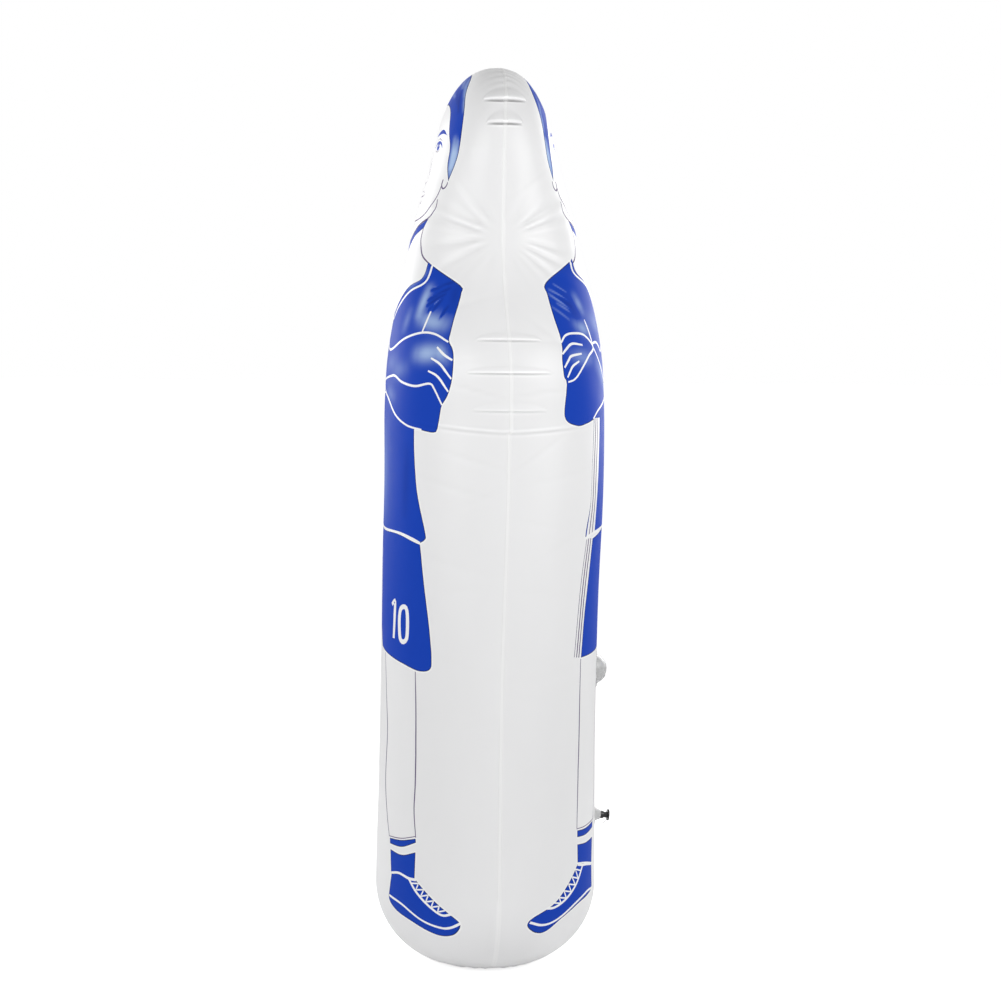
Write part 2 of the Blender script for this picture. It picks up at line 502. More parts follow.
FEET = [
    {
        "sock_top": [(80, 242), (118, 245), (153, 254)],
        "band": [(81, 239, 1), (118, 242), (153, 250, 1), (154, 243, 1), (120, 230), (82, 229, 1)],
        "sock": [(84, 219, 1), (121, 216), (154, 226, 1), (154, 177, 1), (140, 178), (114, 181),
                 (88, 178, 1)],
        "boot": [(90, 177, 1), (84, 146), (82, 128), (101, 113), (139, 100), (171, 87), (194, 82),
                 (219, 87), (237, 101), (239, 112), (224, 126), (190, 151), (157, 177, 1),
                 (140, 177), (114, 181)],
        "ankle": [(90, 178), (114, 182), (140, 177), (157, 177)],
        "sole": [(83, 136), (124, 127), (167, 106), (200, 98), (219, 100), (240, 109)],
        "lace": [(140, 177), (159, 156), (190, 133), (210, 122), (227, 125)],
        "zigzag": [(147, 170, 1), (163, 172, 1), (158, 160, 1), (175, 163, 1), (169, 150, 1),
                   (185, 155, 1), (180, 142, 1), (196, 146, 1), (191, 134, 1), (207, 138, 1),
                   (203, 127, 1), (217, 131, 1)],
    },
    {
        "sock_top": [(-145, 261), (-115, 261), (-73, 265)],
        "band": [(-145, 258, 1), (-115, 257), (-73, 262, 1), (-76, 251, 1), (-115, 245),
                 (-145, 246, 1)],
        "sock": [(-145, 233, 1), (-115, 231), (-79, 234, 1), (-85, 186, 1), (-112, 193),
                 (-145, 198, 1)],
        "boot": [(-145, 198, 1), (-114, 193), (-85, 186, 1), (-84, 160), (-85, 142), (-108, 134),
                 (-143, 126), (-182, 107), (-206, 87), (-226, 87), (-246, 97), (-254, 107),
                 (-246, 118), (-205, 139), (-168, 172)],
        "ankle": [(-145, 197), (-128, 193), (-112, 191), (-86, 186)],
        "sole": [(-84, 142), (-112, 141), (-153, 128), (-196, 105), (-222, 101), (-250, 109)],
        "lace": [(-128, 192), (-150, 163), (-178, 142), (-204, 131), (-222, 131)],
        "zigzag": [(-134, 184, 1), (-152, 190, 1), (-144, 172, 1), (-162, 178, 1), (-153, 162, 1),
                   (-172, 167, 1), (-165, 152, 1), (-184, 157, 1), (-178, 143, 1), (-196, 147, 1),
                   (-191, 136, 1), (-208, 139, 1)],
    },
]
BARE, TRIM, BLUE, DARK, EDGE = 0, 1, 2, 3, 4


def player_print():
    """Every printed shape in the order of printing, as (ink, outlines); an outline pair means
    the band between the two."""
    shapes = []

    def fill(ink, points, halo=HALO, edge=NAVY_EDGE):
        outline = drawn_curve(points, closed=True)
        if halo:
            shapes.append((TRIM, brush_stroke(outline, halo, closed=True)))
        if edge:
            shapes.append((EDGE, [outline]))
            both = brush_stroke(outline, 2 * edge, closed=True)
            outline = min(both, key=lambda line: abs(np.sum(line[:, 0] * np.roll(line[:, 1], -1)
                                                            - line[:, 1] * np.roll(line[:, 0], -1))))
        shapes.append((ink, [outline]))

    def stroke(ink, points, width, taper=0.0):
        shapes.append((ink, brush_stroke(drawn_curve(points, step=3.0), width, taper=taper)))

    def dot(ink, x, y, radius):
        rim = np.linspace(0, 2 * pi, 16, endpoint=False)
        shapes.append((ink, [np.stack((x + radius * np.cos(rim), y + radius * np.sin(rim)),
                                      axis=1)]))

    for line in LEG_LINES:
        stroke(DARK, line, DARK_LINE, 0.4)
    for foot in FEET:
        fill(BLUE, foot["band"])
        stroke(DARK, foot["sock_top"], FINE_LINE)
        fill(BLUE, foot["sock"])
        fill(BLUE, foot["boot"])
        for part in ("ankle", "sole", "lace"):
            stroke(TRIM, foot[part], WHITE_LINE)
        stroke(TRIM, foot["zigzag"], 2.6)
    for side in (1, -1):
        place = (lambda points: points) if side == 1 else mirrored
        fill(BLUE, place(BROW), halo=0, edge=0)
        dot(BLUE, side * EYE[0], EYE[1], EYE[2])
        dot(TRIM, side * EYE[0] + 2.0, EYE[1] + 2.2, 1.6)
        stroke(BLUE, place(UPPER_LID), 4.4, 0.7)
        stroke(DARK, place(LID_FOLD), FINE_LINE, 0.8)
        stroke(DARK, place(UNDER_EYE), FINE_LINE, 0.8)
        stroke(DARK, place(EAR_LOBE), DARK_LINE, 0.5)
        stroke(DARK, place(SHOULDER_LINE), DARK_LINE, 0.4)
        stroke(DARK, place(NECK_LINE), DARK_LINE, 0.4)
    stroke(DARK, FACE_LINE, DARK_LINE, 0.4)
    stroke(DARK, NOSE_BRIDGE, FINE_LINE, 0.8)
    stroke(DARK, NOSE, 1.8, 0.7)
    stroke(DARK, MOUTH, 2.2, 0.8)
    stroke(DARK, UPPER_LIP, FINE_LINE, 0.8)
    stroke(DARK, LOWER_LIP, FINE_LINE, 0.8)
    fill(BLUE, HAIR)
    fill(BLUE, COLLAR, halo=0, edge=1.0)
    fill(BLUE, RAGLAN_BAND, halo=0, edge=1.0)
    fill(BLUE, SHORTS)
    stroke(DARK, SHORTS_SIDE, FINE_LINE)
    for stripe in SHORTS_STRIPES:
        stroke(DARK, stripe, DARK_LINE)
    fill(BLUE, ARMS)
    fill(BARE, SHIRT_SIDE, halo=0, edge=0)
    stroke(TRIM, RAGLAN_LINE, WHITE_LINE)
    for stripe in SHIRT_STRIPES:
        stroke(DARK, stripe, DARK_LINE)
    for line in ARM_LINES:
        stroke(TRIM, line, WHITE_LINE, 0.3)
    stroke(TRIM, HEM_LINE, WHITE_LINE)
    stroke(TRIM, FRONT_FOLD, WHITE_LINE, 0.5)
    stroke(TRIM, ONE, 8.0, 0.15)
    shapes.append((TRIM, brush_stroke(drawn_curve(ZERO, closed=True), 8.5, closed=True)))
    return shapes


SHADING = [
    (116, 1210, 110, 1166, 9, 0.80), (122, 1158, 172, 1148, 14, 0.75), (84, 1170, 78, 1140, 9, 0.30),
    (92, 1238, 60, 1217, 8, 0.55), (132, 1098, 174, 1100, 15, 0.85), (100, 1072, 60, 1066, 14, 0.25),
    (176, 1106, 196, 1086, 9, 0.45), (30, 1030, 60, 1022, 12, 0.25), (20, 1078, 60, 1084, 14, 0.20),
    (160, 1222, 122, 1207, 2.6, -0.70), (158, 1211, 122, 1190, 2.6, -0.75),
    (154, 1201, 124, 1181, 2.4, -0.70), (152, 1192, 140, 1172, 2.4, -0.60),
    (168, 1180, 160, 1158, 2.4, -0.60), (138, 1186, 130, 1168, 2.0, -0.40),
    (168, 1216, 178, 1180, 9, -0.30), (150, 1216, 126, 1212, 2.0, 0.45),
    (150, 1204, 128, 1196, 2.0, 0.45), (148, 1194, 134, 1180, 2.0, 0.40),
    (-178, 1203, -148, 1179, 2.2, 0.50), (-172, 1211, -142, 1193, 2.2, 0.45),
    (-170, 1187, -148, 1172, 2.2, 0.40), (-158, 1220, -138, 1207, 2.2, 0.40),
    (-184, 1180, -160, 1160, 2.2, 0.30), (-166, 1200, -140, 1182, 2.4, -0.30),
    (-150, 1206, -134, 1160, 12, -0.25), (-118, 1198, -112, 1176, 9, 0.50),
    (-142, 1150, -116, 1142, 12, 0.60), (-176, 1096, -130, 1094, 13, 0.40),
    (-96, 1082, -40, 1040, 15, 0.35), (-90, 1160, -40, 1150, 18, 0.25),
    (4, 830, 2, 950, 34, 0.30), (108, 820, 112, 930, 10, -0.20),
    (98, 1462, 92, 1408, 8, 1.0), (86, 1470, 90, 1420, 5, 0.6), (100, 1490, 101, 1450, 3, -0.40),
    (60, 1562, 88, 1518, 4, 0.60), (34, 1580, 66, 1546, 4, 0.50), (44, 1556, 74, 1516, 3, -0.50),
    (10, 1582, 44, 1560, 4, 0.40), (20, 1566, 56, 1532, 3, -0.40), (-14, 1576, 18, 1566, 4, 0.35),
    (-10, 1560, 34, 1546, 3, 0.35), (-50, 1560, -20, 1574, 4, 0.40), (-64, 1536, -40, 1556, 3, -0.4),
    (-78, 1520, -58, 1546, 3.5, 0.45), (-90, 1486, -80, 1518, 3.5, 0.50),
    (-92, 1470, -88, 1414, 7, 0.95), (-82, 1478, -72, 1504, 3, -0.40),
]


def ink_tone(across, up):
    """How the blue is shaded, 0 dark, half plain and 1 pale: soft strokes of the airbrush, each
    a bell across its line that also fades past the line's ends."""
    tone = np.zeros(len(across))
    for ax, ay, bx, by, wide, strength in SHADING:
        run = np.array((bx - ax, by - ay), float)
        t = ((across - ax) * run[0] + (up - ay) * run[1]) / (run @ run)
        t = np.clip(t, 0, 1)
        gap = np.hypot(across - ax - t * run[0], up - ay - t * run[1]) / wide
        tone = tone + strength * np.exp(-(gap**2)) * (0.55 + 0.45 * np.sin(pi * t))
    return np.clip(0.5 + tone / 2, 0.0, 1.0)


def inside(outlines, x, y):
    """Whether points lie inside: an odd number of the outlines' edges passes to their right."""
    within = np.zeros(len(x), bool)
    for outline in outlines:
        for (ax, ay), (bx, by) in zip(outline, np.roll(outline, -1, axis=0)):
            if ay != by:
                spans = (ay > y) != (by > y)
                within ^= spans & (x < ax + (y - ay) * (bx - ax) / (by - ay))
    return within


# Panels: the front and the back half of the body, each one printed sheet.  Each is a net of
# points that also follows the print's outlines, so that every edge of the ink is an edge of the
# mesh, and it is laid on the wrinkled film.
PANEL_COLUMNS = 132
ROW_STEP = 0.0062
CLEAR_OF_INK = 0.0011
SHADED_ZONES = [(-0.200, 1.122, -0.095, 1.262), (0.095, 1.122, 0.196, 1.255),
                (-0.100, 1.395, 0.108, 1.592)]
SHADED_STEP = 0.0026


def panel_rows():
    """Distances up the film of the net's rows, closer together at the folds and both ends."""
    zones = [(0.030, 1.545, ROW_STEP), (0.0, 0.030, 0.0024), (CREASE_Z - 0.012, CREASE_Z + 0.032, 0.002),
             (1.190, 1.420, 0.0032)]
    for height, reach, depth, rise, drop in TUCKS:
        zones.append((height - drop - TUCK_MEND, height + 0.0012, 0.0006))
        zones.append((height - 0.012, height + rise, 0.0022))
    rows = [np.arange(float(film_from_height(np.array(low))), float(film_from_height(np.array(high))),
                      step) for low, high, step in zones]
    rows.append(np.arange(float(film_from_height(np.array(1.540))), TOP_FILM, 0.0030))
    rows = np.unique(np.round(np.concatenate(rows), 5))
    rows = rows[np.concatenate(([True], np.diff(rows) > 0.00035))]
    return np.append(rows[rows < TOP_FILM - 0.001], TOP_FILM)


def distance_to_lines(points, starts, ends, reach):
    """The distance of each point from the nearest piece of line, worked out near each piece."""
    nearest = np.full(len(points), reach)
    order = np.argsort(points[:, 1])
    sorted_up = points[order, 1]
    for a, b in zip(starts, ends):
        first = np.searchsorted(sorted_up, min(a[1], b[1]) - reach)
        last = np.searchsorted(sorted_up, max(a[1], b[1]) + reach)
        near = order[first:last]
        along = b - a
        t = np.clip((points[near] - a) @ along / max(along @ along, 1e-12), 0, 1)
        gap = np.linalg.norm(points[near] - a - t[:, None] * along, axis=1)
        nearest[near] = np.minimum(nearest[near], gap)
    return nearest


def make_panel(name, side):
    """One panel's mesh and the ink of each face."""
    rows = panel_rows()
    if side == BACK:
        half_depth = section(rows)[1]
        rows = rows[half_depth > SEAM_SHIFTS[-1][1]]
    edge = seam_turn(side, rows) * across_film(rows)
    columns = np.linspace(-1, 1, PANEL_COLUMNS + 1)
    columns = 1.38 * columns - 0.38 * columns**3
    viewer = -side
    net = np.stack((edge[:, None] * columns, np.broadcast_to(rows[:, None], (len(rows),
                    len(columns)))), axis=-1)
    border = np.concatenate((net[:, -1], net[-1, -2:0:-1], net[::-1, 0], net[0, 1:-1]))
    border = border[np.concatenate(([True], np.linalg.norm(np.diff(border, axis=0), axis=1) > 1e-6))]
    shapes = []
    for ink, outlines in player_print():
        placed = []
        for outline in outlines:
            x = viewer * outline[:, 0] / 1000
            placed.append(np.stack((x, film_from_height(outline[:, 1] / 1000)), axis=1))
        shapes.append((ink, placed))
    outlines = [outline for ink, placed in shapes for outline in placed]
    starts = np.concatenate(outlines)
    ends = np.concatenate([np.roll(outline, -1, axis=0) for outline in outlines])
    free = net[1:-1, 1:-1].reshape(-1, 2)
    for low_x, low_z, high_x, high_z in SHADED_ZONES:
        low_x, high_x = sorted((viewer * low_x, viewer * high_x))
        low_up, high_up = film_from_height(np.array((low_z, high_z)))
        apart = ((free[:, 0] < low_x) | (free[:, 0] > high_x) | (free[:, 1] < low_up)
                 | (free[:, 1] > high_up))
        fine_x, fine_up = np.meshgrid(np.arange(low_x, high_x, SHADED_STEP),
                                      np.arange(low_up, high_up, SHADED_STEP))
        fine = np.stack((fine_x.ravel(), fine_up.ravel()), axis=1)
        room = (seam_turn(side, fine[:, 1]) * across_film(fine[:, 1])) - np.abs(fine[:, 0])
        free = np.concatenate((free[apart], fine[room > 0.002]))
    free = free[distance_to_lines(free, starts, ends, CLEAR_OF_INK) >= CLEAR_OF_INK]
    points = np.concatenate((border, starts, free))
    links = [(i, (i + 1) % len(border)) for i in range(len(border))]
    base = len(border)
    for outline in outlines:
        count = len(outline)
        links += [(base + i, base + (i + 1) % count) for i in range(count)]
        base += count
    made = delaunay_2d_cdt([Vector(point) for point in points], links, [], 0, 1e-7)
    flat = np.array([tuple(point) for point in made[0]])
    faces = np.array(made[2])
    middle = flat[faces].mean(axis=1)
    faces = faces[inside([border], middle[:, 0], middle[:, 1])]
    middle = flat[faces].mean(axis=1)
    inks = np.zeros(len(faces), int)
    for ink, placed in shapes:
        low = np.min([outline.min(axis=0) for outline in placed], axis=0)
        high = np.max([outline.max(axis=0) for outline in placed], axis=0)
        near = np.nonzero(np.all((middle >= low) & (middle <= high), axis=1))[0]
        hit = near[inside(placed, middle[near, 0], middle[near, 1])]
        inks[hit] = ink
    turn = flat[:, 0] / across_film(flat[:, 1])
    turn = np.clip(turn, -seam_turn(side, flat[:, 1]), seam_turn(side, flat[:, 1]))
    place = film_point(side, turn, flat[:, 1])
    corner = place[faces]
    facing = np.cross(corner[:, 1] - corner[:, 0], corner[:, 2] - corner[:, 0])
    normal = film_normal(side, turn, flat[:, 1])
    inward = np.sum(facing * normal[faces].mean(axis=1), axis=1) < 0
    faces[inward] = faces[inward][:, ::-1]
    mesh = bpy.data.meshes.new(name)
    mesh.from_pydata(place.tolist(), [], faces.tolist())
    mesh.polygons.foreach_set("material_index", inks.astype(np.int32))
    mesh.polygons.foreach_set("use_smooth", np.ones(len(faces), bool))
    height = section(flat[:, 1])[3]
    tone = mesh.attributes.new("ink_tone", "FLOAT", "POINT")
    tone.data.foreach_set("value", ink_tone(viewer * flat[:, 0] * 1000, height * 1000))
    hollow = mesh.attributes.new("fold_hollow", "FLOAT", "POINT")
    hollow.data.foreach_set("value", fold_hollow(side, turn, flat[:, 1]))
    mesh.normals_split_custom_set_from_vertices(normal.tolist())
    piece = bpy.data.objects.new(name, mesh)
    bpy.context.scene.collection.objects.link(piece)
    return piece


def film_group():
    """The surface that every film of this vinyl has: faint cloudiness in the colour, dust in the
    folds, a slightly uneven gloss, and a skin of shallow waves under a fine grain."""
    group = bpy.data.node_groups.new("vinyl_film", "ShaderNodeTree")
    for socket, kind, way in [("Color", "NodeSocketColor", "INPUT"),
                              ("Gloss", "NodeSocketFloat", "INPUT"),
                              ("Waves", "NodeSocketFloat", "INPUT"),
                              ("Color", "NodeSocketColor", "OUTPUT"),
                              ("Roughness", "NodeSocketFloat", "OUTPUT"),
                              ("Normal", "NodeSocketVector", "OUTPUT")]:
        group.interface.new_socket(socket, in_out=way, socket_type=kind)
    nodes, links = group.nodes, group.links
    given = nodes.new("NodeGroupInput")
    result = nodes.new("NodeGroupOutput")
    where = nodes.new("ShaderNodeTexCoord")
    stretch = nodes.new("ShaderNodeMapping")
    stretch.inputs["Scale"].default_value = (1.0, 1.0, 0.35)
    links.new(where.outputs["Object"], stretch.inputs["Vector"])
    cloud = nodes.new("ShaderNodeTexNoise")
    cloud.inputs["Scale"].default_value = 7.0
    cloud.inputs["Detail"].default_value = 3.0
    links.new(stretch.outputs["Vector"], cloud.inputs["Vector"])
    dim = nodes.new("ShaderNodeMapRange")
    dim.inputs["To Min"].default_value = 0.96
    dim.inputs["To Max"].default_value = 1.02
    links.new(cloud.outputs["Fac"], dim.inputs["Value"])
    fold = nodes.new("ShaderNodeAttribute")
    fold.attribute_name = "fold_hollow"
    dust = nodes.new("ShaderNodeMapRange")
    dust.inputs["From Min"].default_value = -0.6
    dust.inputs["From Max"].default_value = 1.6
    dust.inputs["To Min"].default_value = 1.035
    dust.inputs["To Max"].default_value = 0.45
    dust.interpolation_type = "LINEAR"
    links.new(fold.outputs["Fac"], dust.inputs["Value"])
    shade = nodes.new("ShaderNodeMath")
    shade.operation = "MULTIPLY"
    links.new(dim.outputs["Result"], shade.inputs[0])
    links.new(dust.outputs["Result"], shade.inputs[1])
    tint = nodes.new("ShaderNodeVectorMath")
    tint.operation = "SCALE"
    links.new(given.outputs["Color"], tint.inputs[0])
    links.new(shade.outputs[0], tint.inputs["Scale"])
    links.new(tint.outputs["Vector"], result.inputs["Color"])
    patch = nodes.new("ShaderNodeTexNoise")
    patch.inputs["Scale"].default_value = 26.0
    patch.inputs["Detail"].default_value = 2.0
    links.new(where.outputs["Object"], patch.inputs["Vector"])
    uneven = nodes.new("ShaderNodeMath")
    uneven.operation = "MULTIPLY_ADD"
    uneven.inputs[1].default_value = 0.10
    links.new(patch.outputs["Fac"], uneven.inputs[0])
    links.new(given.outputs["Gloss"], uneven.inputs[2])
    links.new(uneven.outputs[0], result.inputs["Roughness"])
    wave = nodes.new("ShaderNodeTexNoise")
    wave.inputs["Scale"].default_value = 16.0
    wave.inputs["Detail"].default_value = 1.0
    links.new(stretch.outputs["Vector"], wave.inputs["Vector"])
    grain = nodes.new("ShaderNodeTexNoise")
    grain.inputs["Scale"].default_value = 420.0
    grain.inputs["Detail"].default_value = 2.0
    links.new(where.outputs["Object"], grain.inputs["Vector"])
    fine = nodes.new("ShaderNodeBump")
    fine.inputs["Strength"].default_value = 0.08
    fine.inputs["Distance"].default_value = 0.0004
    links.new(grain.outputs["Fac"], fine.inputs["Height"])
    broad = nodes.new("ShaderNodeBump")
    broad.inputs["Distance"].default_value = 0.006
    links.new(given.outputs["Waves"], broad.inputs["Strength"])
    links.new(wave.outputs["Fac"], broad.inputs["Height"])
    links.new(fine.outputs["Normal"], broad.inputs["Normal"])
    links.new(broad.outputs["Normal"], result.inputs["Normal"])
    return group


VINYL_FILM = film_group()


def vinyl(name, colour, gloss=0.29, waves=0.15, shine=0.5, dark=None, pale=None):
    """Glossy vinyl of one colour, or an ink that runs from dark through its colour to pale by
    the print's tone."""
    material = bpy.data.materials.new(name)
    material.use_nodes = True
    nodes, links = material.node_tree.nodes, material.node_tree.links
    shader = nodes["Principled BSDF"]
    shader.inputs["IOR"].default_value = 1.5
    shader.inputs["Specular IOR Level"].default_value = shine
    film = nodes.new("ShaderNodeGroup")
    film.node_tree = VINYL_FILM
    film.inputs["Color"].default_value = (*colour, 1.0)
    film.inputs["Gloss"].default_value = gloss
    film.inputs["Waves"].default_value = waves
    if pale:
        tone = nodes.new("ShaderNodeAttribute")
        tone.attribute_name = "ink_tone"
        fade = nodes.new("ShaderNodeValToRGB")
        fade.color_ramp.elements[0].color = (*dark, 1.0)
        fade.color_ramp.elements[1].color = (*pale, 1.0)
        middle = fade.color_ramp.elements.new(0.5)
        middle.color = (*colour, 1.0)
        links.new(tone.outputs["Fac"], fade.inputs["Fac"])
        links.new(fade.outputs["Color"], film.inputs["Color"])
    links.new(film.outputs["Color"], shader.inputs["Base Color"])
    links.new(film.outputs["Roughness"], shader.inputs["Roughness"])
    links.new(film.outputs["Normal"], shader.inputs["Normal"])
    return material


FILM_WHITE = (0.94, 0.94, 0.945)
INK_WHITE = (1.0, 1.0, 1.0)
INK_BLUE = (0.009, 0.060, 0.500)
INK_NAVY = (0.005, 0.022, 0.200)
INK_PALE = (0.46, 0.62, 0.90)
INK_EDGE = (0.012, 0.026, 0.130)
INK_DARK = (0.13, 0.09, 0.20)
white_film = vinyl("white_film", FILM_WHITE)
print_inks = [
    white_film,
    vinyl("white_ink", INK_WHITE),
    vinyl("blue_ink", INK_BLUE, gloss=0.42, shine=0.06, dark=INK_NAVY, pale=INK_PALE),
    vinyl("dark_line_ink", INK_DARK, gloss=0.42, shine=0.12),
    vinyl("navy_edge_ink", INK_EDGE, gloss=0.42, shine=0.12),
]
for name, node, side in [("front_film", "front_panel", FRONT), ("back_film", "back_panel", BACK)]:
    panel = make_panel(name, side)
    for ink in print_inks:
        panel.data.materials.append(ink)
    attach(panel, "envelope")
    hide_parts(node)

# Side seam: the doubled margins of both panels, welded flat by a heated bar.  The bar leaves two
# pressed lines, and the weld runs up one side, over the crown and down the other.
SEAM_WIDTH = 0.009
SEAM_PROUD = 0.0007
SEAM_EDGE_DROP = 0.0006
BAR_LINE = 0.0030
BAR_LINE_WIDTH = 0.0006
BAR_LINE_DEPTH = 0.0005
BAR_LINE_DUST = 0.30
SEAM_END_Z = 0.145
SEAM_COLUMNS = 29
SEAM_CROWN_STEPS = 420
CREASE_JOG = 0.0022
CREASE_JOG_LENGTH = 0.060


def seam_profile(q):
    """Height of the weld's back over the film at q, which runs from -1 to 1 across it: a low
    arch that drops at both edges, less the two lines of the bar."""
    arch = SEAM_PROUD * (1 - q**6) - SEAM_EDGE_DROP * q**16
    lines = np.exp(-(((np.abs(q) * SEAM_WIDTH / 2 - BAR_LINE) / BAR_LINE_WIDTH) ** 2))
    return arch - BAR_LINE_DEPTH * lines


def seam_point(along, q):
    """A point of the weld.  Up both sides, where along runs from 2 at the foot to 1 at the head,
    y is the seam's middle plus q times half the width and x follows from the ellipse there; over
    the crown x is even and the closing follows from both."""
    right = np.sign(along) + (along == 0)
    on_side = np.abs(along) >= 1
    up = np.clip(2 - np.abs(along), 0.0, 1.0) * HEAD_FILM
    side_width, side_depth, side_middle, side_height = section(up)
    from_crease = side_height - CREASE_Z
    jog = np.sign(from_crease) * CREASE_JOG * np.exp(-np.abs(from_crease) / CREASE_JOG_LENGTH)
    side_off = smooth_size(SEAM_SHIFTS, side_height) + jog + q * SEAM_WIDTH / 2
    side_x = side_width * np.sqrt(1 - np.clip(side_off / side_depth, -1, 1) ** 2)
    middle, depth, width = BOWS[-1][1], HALF_DEPTHS[-2][1], HALF_WIDTHS[-1][1]
    taper = (depth - HALF_DEPTHS[-1][1]) / (TOP_Z - HEAD_Z)
    x_share = np.sin(np.clip(np.abs(along), 0, 1) * pi / 2)
    rise = np.zeros_like(x_share)
    for repeat in range(12):
        off = smooth_size(SEAM_SHIFTS, HEAD_Z + rise) + q * SEAM_WIDTH / 2
        here = off / (depth - taper * rise)
        most = np.sqrt(np.clip(1 - here**2, 0, 1))
        closing = np.clip(np.hypot(x_share * most, here), 0, 1)
        rise = (TOP_Z - HEAD_Z) * (1 - closing**CROWN_FULLNESS) ** (1 / CROWN_FULLNESS)
    crown_x = width * x_share * most
    x = right * np.where(on_side, side_x, crown_x)
    y = np.where(on_side, side_middle + side_off, middle + off)
    z = np.where(on_side, side_height, HEAD_Z + rise)
    return np.stack((x, y, z), axis=-1)


def grid_mesh(name, points, closed_across=False, hollow=None):
    """A mesh of quads over a grid of points, rows first, with how deep each lies in a fold."""
    count_a, count_b = points.shape[:2]
    index = np.arange(count_a * count_b).reshape(count_a, count_b)
    if closed_across:
        index = np.concatenate((index, index[:, :1]), axis=1)
    quads = np.stack((index[:-1, :-1], index[:-1, 1:], index[1:, 1:], index[1:, :-1]), axis=-1)
    mesh = bpy.data.meshes.new(name)
    mesh.from_pydata(points.reshape(-1, 3).tolist(), [], quads.reshape(-1, 4).tolist())
    mesh.polygons.foreach_set("use_smooth", np.ones(len(mesh.polygons), bool))
    if hollow is not None:
        depth = mesh.attributes.new("fold_hollow", "FLOAT", "POINT")
        depth.data.foreach_set("value", hollow.ravel())
    piece = bpy.data.objects.new(name, mesh)
    bpy.context.scene.collection.objects.link(piece)
    return piece


def make_seam():
    """The weld's strip over the whole arch.  It rides on the folds of the panel on its own side,
    and fades out low down, where the weld ends under the base."""
    sides = 2 - panel_rows()[panel_rows() < HEAD_FILM - 0.001] / HEAD_FILM
    crown = np.linspace(-1, 1, SEAM_CROWN_STEPS + 1)
    along = np.concatenate((-sides, crown, sides[::-1]))[:, None]
    q = np.linspace(-1, 1, SEAM_COLUMNS)[None, :]
    along, q = np.broadcast_arrays(along, q)
    base = seam_point(along, q)
    normal = np.cross(np.gradient(base, axis=0), np.gradient(base, axis=1))
    normal /= np.maximum(np.linalg.norm(normal, axis=-1, keepdims=True), 1e-12)
    outward = np.sign(np.sum(normal * (base - (0.0, 0.0, 0.8)), axis=-1))
    normal *= np.sign(np.median(outward))
    height = base[..., 2]
    up = film_from_height(height)
    half_width, half_depth, middle, height = section(up)
    turn = np.arctan2(base[..., 0] / half_width, np.abs(base[..., 1] - middle) / half_depth)
    folds = np.where(q < 0, film_relief(FRONT, turn, up), film_relief(BACK, turn, up))
    middle_fold = (film_relief(FRONT, turn, up) + film_relief(BACK, turn, up)) / 2
    folds = folds * np.abs(q) + middle_fold * (1 - np.abs(q))
    faint = np.clip((height - SEAM_END_Z) / 0.012, 0.35, 1.0)
    lift = seam_profile(q) * faint + folds
    lines = np.exp(-(((np.abs(q) * SEAM_WIDTH / 2 - BAR_LINE) / BAR_LINE_WIDTH) ** 2)) + q**20
    hollow = np.maximum(fold_hollow(FRONT, turn, up), fold_hollow(BACK, turn, up))
    hollow = hollow * 0.6 + BAR_LINE_DUST * lines * faint
    return grid_mesh("side_seam_weld", base + normal * lift[..., None], hollow=hollow)


weld_white = vinyl("weld_white", (1.0, 1.0, 1.0), gloss=0.29, waves=0.05)
seam = make_seam()
seam.data.materials.append(weld_white)
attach(seam, "envelope")
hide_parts("side_seam_band")

# Base: a round sheet welded into the bowl's edge.  Its weld is a flat ring pressed with fine
# ribs, and the sheet sags a little between its folds under the water.
FOOT_RADIUS = RIM_RADIUS - BOWL_ARC * (1 - cos(BOWL_TURN))
FILM_WALL = 0.002
WELD_WIDTH = 0.009
RIB_COUNT = 120
RING_STEPS = 960
weld_inner = FOOT_RADIUS - FILM_WALL - WELD_WIDTH


def make_weld_ring():
    """The ring's underside and outer edge: a profile carried round, with the ribs as a cosine."""
    angle = np.linspace(0, 2 * pi, RING_STEPS, endpoint=False)[:, None]
    share = np.linspace(0, 1, 15)[None, :]
    radius = weld_inner - 0.0004 + (FOOT_RADIUS + 0.0006 - weld_inner) * share
    rib = 0.00035 * (0.5 + 0.5 * np.cos(angle * RIB_COUNT)) * np.sin(pi * share) ** 0.5
    edge = 0.0012 * np.clip((share - 0.86) / 0.14, 0, 1) ** 2
    z = 0.00005 + rib + edge
    points = np.stack((radius * np.cos(angle), radius * np.sin(angle), z + 0 * radius), axis=-1)
    points = np.concatenate((points, points[:1]), axis=0)
    return grid_mesh("base_weld", points)


def make_base_sheet():
    """The base sheet's underside: flat where it stands, with shallow radial folds by the weld."""
    angle = np.linspace(0, 2 * pi, 241)[:, None]
    share = np.linspace(0.0, 1.0, 41)[None, :]
    radius = weld_inner * share
    fold = 0.0008 * share**6 * (0.5 + 0.5 * np.sin(angle * 17 + 2 * np.sin(angle * 3)))
    z = 0.0001 + fold
    points = np.stack((radius * np.cos(angle), radius * np.sin(angle), z + 0 * radius), axis=-1)
    return grid_mesh("base_sheet", points)


for piece, node in [(make_weld_ring(), "base_weld_ring"), (make_base_sheet(), "base_panel")]:
    piece.data.materials.append(weld_white)
    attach(piece, "envelope")
    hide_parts(node)

# Water bag and water: a plain bag lying in the bowl behind the print, held by a collar on the
# filler's spigot.  They stay the frame's own solids, out of sight.
bag_film = vinyl("bag_film", (0.70, 0.73, 0.76), gloss=0.35, waves=0.3)
water = vinyl("water", (0.45, 0.62, 0.70), gloss=0.02, waves=0.02)
for node in ("water_bag_wall", "water_bag_top"):
    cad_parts[node].data.materials.clear()
    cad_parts[node].data.materials.append(bag_film)
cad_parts["water_fill"].data.materials.clear()
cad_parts["water_fill"].data.materials.append(water)


